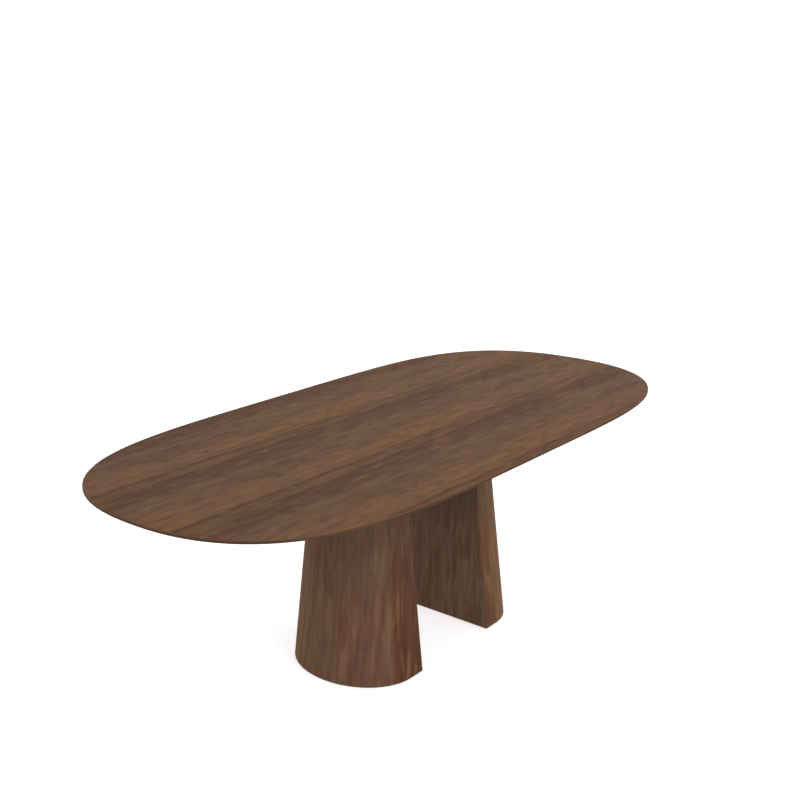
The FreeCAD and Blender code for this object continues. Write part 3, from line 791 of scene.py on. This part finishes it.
def face_walnut():
    """The face veneer: three leaves cut one after another, so that their bands repeat side by side."""
    graph = Graph("walnut_face")
    along, across = graph.grain_place()
    leaf = graph.math("WRAP", across, LEAF_EDGE, -LEAF_EDGE)
    number = graph.math("DIVIDE", graph.math("SUBTRACT", across, leaf), LEAF_WIDTH)
    slipped = graph.math("MULTIPLY_ADD", number, LEAF_SLIP, along)
    change = graph.math("MULTIPLY", number, LEAF_CHANGE)
    place = graph.join(slipped, leaf, change)
    short = graph.join(graph.math("MULTIPLY", slipped, FACE_STRETCH), leaf, change)
    wander = graph.math("SUBTRACT", graph.noise(place, WANDER_WAVES, seed=1.0), 0.5)
    ripple = graph.math("SUBTRACT", graph.noise(place, RIPPLE_WAVES, seed=5.0), 0.5)
    band = graph.math("MULTIPLY_ADD", wander, WANDER, graph.math("MULTIPLY_ADD", ripple, RIPPLE, leaf))
    share = graph.math("MULTIPLY_ADD", band, 1 / LEAF_WIDTH, 0.5)
    colour = graph.ramp(share, [(0.5 + at / LEAF_WIDTH, shade) for at, shade in FACE_BANDS])
    tone = graph.noise(place, TONE_WAVES, detail=2.0, seed=13.0)
    colour = graph.tint(colour, tone, *FACE_GOLD)
    colour = graph.tint(colour, tone, *FACE_PLUM)
    colour = graph.tint(colour, graph.noise(short, FLECK_WAVES, detail=1.0, seed=7.0), *FACE_FLECK)
    colour = graph.tint(colour, graph.noise(short, FLECK_WAVES, detail=1.0, seed=17.0), *FACE_DASH)
    # Painted light: the face veneer grades from darker at -X to lighter at +X along the table
    painted_light_drift = graph.between(along, -HALF_LENGTH, HALF_LENGTH, 1 - FACE_LIGHT_DRIFT, 1 + FACE_LIGHT_DRIFT)
    return lacquered_walnut(graph, short, graph.scale(colour, painted_light_drift), mottle=0.80, streak=0.45, line=0.46)


def way_round_leg(graph, along, across):
    """How far round a leg's shell a place of its grain map lies: -1 and 1 at the corners, 0 at the nose."""
    rim_run, top_run = (run_along(leg_path(level, 0, CORNER_ARRIS))[-1] for level in (LEG_RIM, UNDERSIDE))
    narrowing = (top_run - rim_run) / (UNDERSIDE - LEG_RIM)
    width = graph.math("MULTIPLY_ADD", along, narrowing, rim_run - LEG_RIM * narrowing)
    width = graph.math("MULTIPLY", width, graph.math("MULTIPLY_ADD", along, LEAF_TAPER, 1.0))
    return graph.math("DIVIDE", across, width)


def leg_walnut():
    """The legs' veneer: upright leaves side by side round the shell, with soft streaks of differing tone."""
    graph = Graph("walnut_leg")
    along, across = graph.grain_place()
    leaves = graph.math("DIVIDE", graph.math("SUBTRACT", across, LEG_SEAM), LEG_LEAF)
    number = graph.math("FLOOR", leaves)
    seam = graph.math("LESS_THAN", graph.math("SUBTRACT", leaves, number), SEAM_WIDTH / LEG_LEAF)
    own = graph.math("MULTIPLY", number, LEG_LEAF_CHANGE)
    sway = graph.noise(graph.join(along, across, own), SWAY_WAVES, detail=1.0, seed=19.0)
    swayed = graph.math("MULTIPLY_ADD", graph.math("SUBTRACT", sway, 0.5), SWAY, across)
    place = graph.join(along, swayed, own)
    way = way_round_leg(graph, along, across)
    start = LEG_TONES[0][0]
    reach = LEG_TONES[-1][0] - start
    share = graph.math("DIVIDE", graph.math("SUBTRACT", way, start), reach)
    colour = graph.ramp(share, [((at - start) / reach, shade) for at, shade in LEG_TONES])
    outer_leaf = graph.math("LESS_THAN", number, TAN_LEAF + 0.5)
    colour = graph.mix(graph.math("MULTIPLY", outer_leaf, graph.between(way, *TAN_RANGE)), colour, TAN_COLOUR)
    warm = graph.noise(place, WARM_WAVES, detail=2.0, seed=2.0)
    pale = graph.noise(place, PALE_WAVES, detail=2.0, seed=9.0)
    colour = graph.tint(colour, warm, *LEG_RED)
    colour = graph.tint(colour, warm, *LEG_DARK)
    colour = graph.tint(colour, pale, *LEG_PALE)
    colour = graph.tint(colour, pale, *LEG_PLUM)
    # Painted shade: the legs grey and darken towards the table top, as under its shadow
    colour = graph.tint(colour, along, *LEG_TOP_SHADE)
    # Painted light: the leg brightens towards the table top, against the shade under it
    colour = graph.scale(colour, graph.between(along, TOP_LIGHT_START, UNDERSIDE, 1.0, TOP_LIGHT_GAIN))
    colour = graph.mix(graph.math("MULTIPLY", seam, SEAM_SHARE), colour, SEAM_COLOUR)
    return lacquered_walnut(graph, place, colour, mottle=0.60, streak=0.50, line=0.24)


def edge_walnut():
    """The solid lipping: darker wood with the grain running along the edge, and a painted highlight on its
    upper round.
    """
    graph = Graph("walnut_edge")
    along, across = graph.grain_place()
    place = graph.join(along, across, 0.0)
    tone = graph.between(graph.noise(place, EDGE_WAVES, detail=2.0, seed=4.0), *MIDDLE)
    colour = graph.mix(tone, EDGE_DARK, EDGE_LIGHT)
    # Painted highlight along the lipping's upper round
    colour = graph.mix(graph.between(across, *HIGHLIGHT_RANGE), colour, EDGE_HIGHLIGHT)
    return lacquered_walnut(graph, place, colour, mottle=0.3, streak=0.4, line=0.3)


def underside_walnut():
    """The balancing veneer: plain walnut, its grain along the table."""
    graph = Graph("walnut_underside")
    place = graph.object_place()
    tone = graph.between(graph.noise(place, UNDER_WAVES, detail=3.0, seed=6.0), *MIDDLE)
    colour = graph.mix(tone, UNDER_DARK, UNDER_LIGHT)
    return lacquered_walnut(graph, place, colour, mottle=0.2, streak=0.5, line=0.4)


def fibre_board():
    """The core: pressed wood fibre, cloudy and flecked."""
    graph = Graph("core_board")
    place = graph.object_place()
    fibres = graph.noise(place, BOARD_FIBRES, detail=4.0)
    clouds = graph.noise(place, BOARD_CLOUDS, detail=2.0, seed=3.0)
    share = graph.between(graph.math("ADD", fibres, clouds), *BOARD_RANGE)
    colour = graph.mix(share, BOARD_DARK, BOARD_LIGHT)
    roughness = graph.between(fibres, *MOST, *BOARD_ROUGHNESS)
    return graph.finish(colour, roughness, fibres, FINE_RELIEF, Specular_IOR_Level=BOARD_SHINE)


def birch_plywood():
    """Thin plies, the grain of every second one turned across."""
    graph = Graph("plywood")
    place = graph.object_place()
    height = graph.math("DIVIDE", graph.split(place)[2], 2 * PLY_THICKNESS)
    crossed = graph.math("GREATER_THAN", graph.math("FRACT", height), 0.5)
    lengthwise = graph.noise(place, PLY_WAVES, detail=3.0)
    crosswise = graph.noise(place, CROSS_PLY_WAVES, detail=3.0, seed=5.0)
    grain = graph.math("ADD", graph.math("MULTIPLY", lengthwise, graph.math("SUBTRACT", 1.0, crossed)),
                       graph.math("MULTIPLY", crosswise, crossed))
    colour = graph.mix(graph.between(grain, *MIDDLE), PLY_DARK, PLY_LIGHT)
    colour = graph.mix(graph.math("MULTIPLY", crossed, CROSS_PLY_SHARE), colour, CROSS_PLY_COLOUR)
    roughness = graph.between(grain, *MOST, *PLY_ROUGHNESS)
    return graph.finish(colour, roughness, grain, FINE_RELIEF, Specular_IOR_Level=RAW_WOOD_SHINE)


def planed_softwood():
    """Upright softwood, its yearly rings drawn out into lines."""
    graph = Graph("softwood")
    place = graph.object_place()
    rings = graph.between(graph.noise(place, RING_WAVES, detail=2.0), *RING_RANGE)
    fibres = graph.noise(place, SOFTWOOD_FIBRES, detail=2.0, seed=8.0)
    colour = graph.scale(graph.mix(rings, RING_PALE, RING_DARK), graph.about(fibres, SOFTWOOD_FLECK))
    roughness = graph.between(fibres, *MOST, *SOFTWOOD_ROUGHNESS)
    return graph.finish(colour, roughness, fibres, FINE_RELIEF, Specular_IOR_Level=RAW_WOOD_SHINE)


def powder_coat():
    """Matt black powder coat with a fine orange-peel skin."""
    graph = Graph("black_steel")
    place = graph.object_place()
    skin = graph.noise(place, COAT_SKIN, detail=2.0)
    dust = graph.noise(place, COAT_DUST, detail=3.0, seed=4.0)
    colour = graph.mix(graph.between(dust, *MIDDLE), COAT_DARK, COAT_LIGHT)
    roughness = graph.between(skin, *MIDDLE, *COAT_ROUGHNESS)
    return graph.finish(colour, roughness, skin, COAT_RELIEF, Specular_IOR_Level=BLACK_SHINE)


def zinc_plate():
    """Zinc-plated steel, cloudy and a little uneven in its shine."""
    graph = Graph("zinc_steel")
    place = graph.object_place()
    clouds = graph.between(graph.noise(place, ZINC_CLOUDS, detail=3.0), *MIDDLE)
    specks = graph.noise(place, ZINC_SPECKS, detail=2.0, seed=6.0)
    colour = graph.mix(clouds, ZINC_DARK, ZINC_LIGHT)
    roughness = graph.math("MULTIPLY", specks, ZINC_SPECK_ROUGHNESS)
    roughness = graph.math("MULTIPLY_ADD", clouds, ZINC_CLOUD_ROUGHNESS, roughness)
    return graph.finish(colour, roughness, specks, METAL_RELIEF, Metallic=1.0)


def turned_brass():
    """Turned brass with fine tool marks round its axis."""
    graph = Graph("insert_brass")
    place = graph.object_place()
    marks = graph.noise(place, BRASS_MARKS, detail=2.0)
    tarnish = graph.between(graph.noise(place, BRASS_TARNISH, detail=3.0, seed=2.0), *TARNISH_RANGE)
    colour = graph.mix(tarnish, BRASS_BRIGHT, BRASS_DULL)
    roughness = graph.between(marks, *MOST, *BRASS_ROUGHNESS)
    return graph.finish(colour, roughness, marks, METAL_RELIEF, Metallic=1.0)


def moulded_nylon():
    """Black moulded nylon, finely textured and a little scuffed."""
    graph = Graph("foot_plastic")
    place = graph.object_place()
    texture = graph.noise(place, NYLON_TEXTURE, detail=2.0)
    scuffs = graph.between(graph.noise(place, NYLON_SCUFFS, detail=4.0, seed=9.0), *SCUFF_RANGE)
    colour = graph.mix(scuffs, NYLON_BLACK, NYLON_SCUFFED)
    roughness = graph.between(texture, *MIDDLE, *NYLON_ROUGHNESS)
    return graph.finish(colour, roughness, texture, FINE_RELIEF, Specular_IOR_Level=BLACK_SHINE)


MATERIALS = {
    "walnut_face": face_walnut(),
    "walnut_leg": leg_walnut(),
    "walnut_edge": edge_walnut(),
    "walnut_underside": underside_walnut(),
    "core_board": fibre_board(),
    "plywood": birch_plywood(),
    "softwood": planed_softwood(),
    "black_steel": powder_coat(),
    "zinc_steel": zinc_plate(),
    "insert_brass": turned_brass(),
    "foot_plastic": moulded_nylon(),
}

for depth in ("front", "middle", "back"):
    make_leaf(depth)
for stretch in ("side", "end"):
    for depth in DEPTHS:
        for side in SIDES:
            make_lipping(stretch, depth, side)
for side in SIDES:
    make_leg_board(side, "shell", leg_path, 0, LEAF_TAPER)
    make_leg_board(side, "face_panel", panel_path, PANEL_SHIFT, 0)
    make_bolts(side)
for body in frame["record"]["behaviour"]["bodies"]:
    if body != "table":
        make_foot(body)

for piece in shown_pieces():
    slot = piece.get("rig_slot") or SLOT_OF[piece["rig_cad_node"]]
    piece.data.materials.clear()
    piece.data.materials.append(MATERIALS[slot])


# Floor and light

FLOOR_REACH = 60.0
FLOOR_BOUNCE = (0.8, 0.8, 0.8, 1)
FLOOR_SHADED = (0.9, 0.9, 0.9, 1)
FLOOR_GLOW = 0.585
SKY_LIGHT = 0.86
WHITE = (1, 1, 1, 1)
LAMP_TARGET = Vector((0, 0, 0.5))
KEY_PLACE = (-1.5, -13.9, 6.2)
KEY_SIZE = 9.0
KEY_POWER = 720


def seen_or_mirrored(tree):
    """1 for rays from the camera, off gloss or through glass, and 0 for the rest."""
    rays = tree.nodes.new("ShaderNodeLightPath")
    first = tree.nodes.new("ShaderNodeMath")
    second = tree.nodes.new("ShaderNodeMath")
    first.operation = second.operation = "MAXIMUM"
    tree.links.new(rays.outputs["Is Camera Ray"], first.inputs[0])
    tree.links.new(rays.outputs["Is Glossy Ray"], first.inputs[1])
    tree.links.new(first.outputs[0], second.inputs[0])
    tree.links.new(rays.outputs["Is Transmission Ray"], second.inputs[1])
    return second.outputs[0]


def make_floor():
    """A wide white floor that shows a faint shadow."""
    mesh = bmesh.new()
    bmesh.ops.create_grid(mesh, x_segments=1, y_segments=1, size=FLOOR_REACH)
    data = bpy.data.meshes.new("floor")
    mesh.to_mesh(data)
    mesh.free()
    floor = bpy.data.objects.new("floor", data)
    bpy.context.scene.collection.objects.link(floor)
    graph = Graph("floor_white")
    tree = graph.tree
    tree.nodes.remove(graph.shader)
    plain = graph.add("ShaderNodeBsdfDiffuse", {"Color": FLOOR_BOUNCE})
    shaded = graph.add("ShaderNodeBsdfDiffuse", {"Color": FLOOR_SHADED})
    glow = graph.add("ShaderNodeEmission", {"Strength": FLOOR_GLOW})
    shown = graph.add("ShaderNodeAddShader", {0: shaded, 1: glow})
    either = graph.add("ShaderNodeMixShader", {0: seen_or_mirrored(tree), 1: plain, 2: shown})
    graph.feed(tree.nodes["Material Output"].inputs["Surface"], either)
    data.materials.append(graph.material)


def make_world():
    """Even white light all round, and a plain white background."""
    world = bpy.data.worlds.new("studio")
    bpy.context.scene.world = world
    world.use_nodes = True
    tree = world.node_tree
    lit = tree.nodes["Background"]
    lit.inputs["Strength"].default_value = SKY_LIGHT
    lit.inputs["Color"].default_value = WHITE
    shown = tree.nodes.new("ShaderNodeBackground")
    shown.inputs["Color"].default_value = WHITE
    mix = tree.nodes.new("ShaderNodeMixShader")
    tree.links.new(seen_or_mirrored(tree), mix.inputs[0])
    tree.links.new(lit.outputs[0], mix.inputs[1])
    tree.links.new(shown.outputs[0], mix.inputs[2])
    tree.links.new(mix.outputs[0], tree.nodes["World Output"].inputs["Surface"])


def make_lamp(name, place, size, power):
    """A square soft lamp that looks at the middle of the table."""
    lamp = bpy.data.objects.new(name, bpy.data.lights.new(name, "AREA"))
    lamp.data.size = size
    lamp.data.energy = power
    lamp.location = place
    lamp.rotation_euler = (LAMP_TARGET - Vector(place)).to_track_quat("-Z", "Y").to_euler()
    bpy.context.scene.collection.objects.link(lamp)


make_floor()
make_world()
make_lamp("key", KEY_PLACE, KEY_SIZE, KEY_POWER)

# Camera
camera = bpy.data.objects.new("camera", bpy.data.cameras.new("camera"))
camera.data.lens = CAMERA_LENS
camera.data.sensor_width = CAMERA_SENSOR
camera.location = CAMERA_PLACE
back = Vector((math.sin(CAMERA_AZIMUTH) * math.cos(CAMERA_ELEVATION),
               -math.cos(CAMERA_AZIMUTH) * math.cos(CAMERA_ELEVATION),
               math.sin(CAMERA_ELEVATION)))
camera.rotation_euler = (-back).to_track_quat("-Z", "Y").to_euler()
bpy.context.scene.collection.objects.link(camera)
bpy.context.scene.camera = camera
bpy.context.scene.view_settings.view_transform = "Standard"
